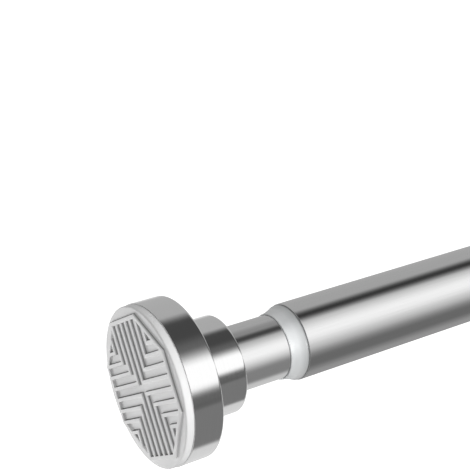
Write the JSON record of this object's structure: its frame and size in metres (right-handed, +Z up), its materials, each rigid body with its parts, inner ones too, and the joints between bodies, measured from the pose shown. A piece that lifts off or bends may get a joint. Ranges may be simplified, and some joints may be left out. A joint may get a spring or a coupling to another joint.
{
  "type": "spring tension rod",
  "caption": "Telescoping sprung tension rod of two round steel tubes, with a twist lock inside and a cupped end with a soft ribbed pad at each end.",
  "frame": {"origin": "centre of the near pad's tread face, where it presses on the wall", "axes": "+X along the rod from the near pad to the far pad, +Z up, +Y to the left seen from the near pad looking along +X"},
  "size_m": [0.42, 0.0646, 0.0646],
  "materials": {
    "satin_steel": "satin",
    "liner_steel": "mill",
    "spring_steel": "polished",
    "zinc_steel": "zinc plated",
    "pad_rubber": "matt, light grey",
    "core_plastic": "moulded, light grey",
    "white_plastic": "milky white, slightly glossy",
    "lock_plastic": "moulded, grey"
  },
  "bodies": {
    "near_end": {"pad_a": "pad_rubber", "cup_a": "satin_steel", "core_a": "core_plastic", "inner_tube": "satin_steel", "guide_ring": "white_plastic", "spring_plug": "lock_plastic", "plug_pin_top": "zinc_steel", "plug_pin_bottom": "zinc_steel", "spring": "spring_steel"},
    "lock_stud": {"lock_hub": "zinc_steel", "lock_washer": "zinc_steel", "lock_screw": "zinc_steel"},
    "lock_grip": {"lock_sleeve": "white_plastic"},
    "lock_nut": {"lock_cone": "lock_plastic"},
    "far_end": {"outer_tube": "satin_steel", "liner_tube": "liner_steel", "collar": "white_plastic", "cup_b": "satin_steel", "core_b": "core_plastic", "pad_b": "pad_rubber"}
  },
  "joints": [
    {"name": "spring_travel", "type": "slide", "parent": "near_end", "child": "lock_stud", "axis": [1, 0, 0], "range_m": [-0.018, 0], "stiffness_N_per_m": 4820, "deforming": ["spring"]},
    {"name": "twist_lock", "type": "hinge", "parent": "lock_stud", "child": "lock_grip", "pos_m": [0.342, 0, 0], "axis": [1, 0, 0], "range_deg": [0, 450]},
    {"name": "cone_travel", "type": "slide", "parent": "lock_grip", "child": "lock_nut", "axis": [-1, 0, 0], "range_m": [0, 0.00375]},
    {"name": "telescope", "type": "slide", "parent": "lock_grip", "child": "far_end", "axis": [1, 0, 0], "range_m": [-0.006, 0.134]}
  ],
  "couplings": [
    {"joint": "cone_travel", "follows": "twist_lock", "m_per_rad": 0.000477}
  ]
}
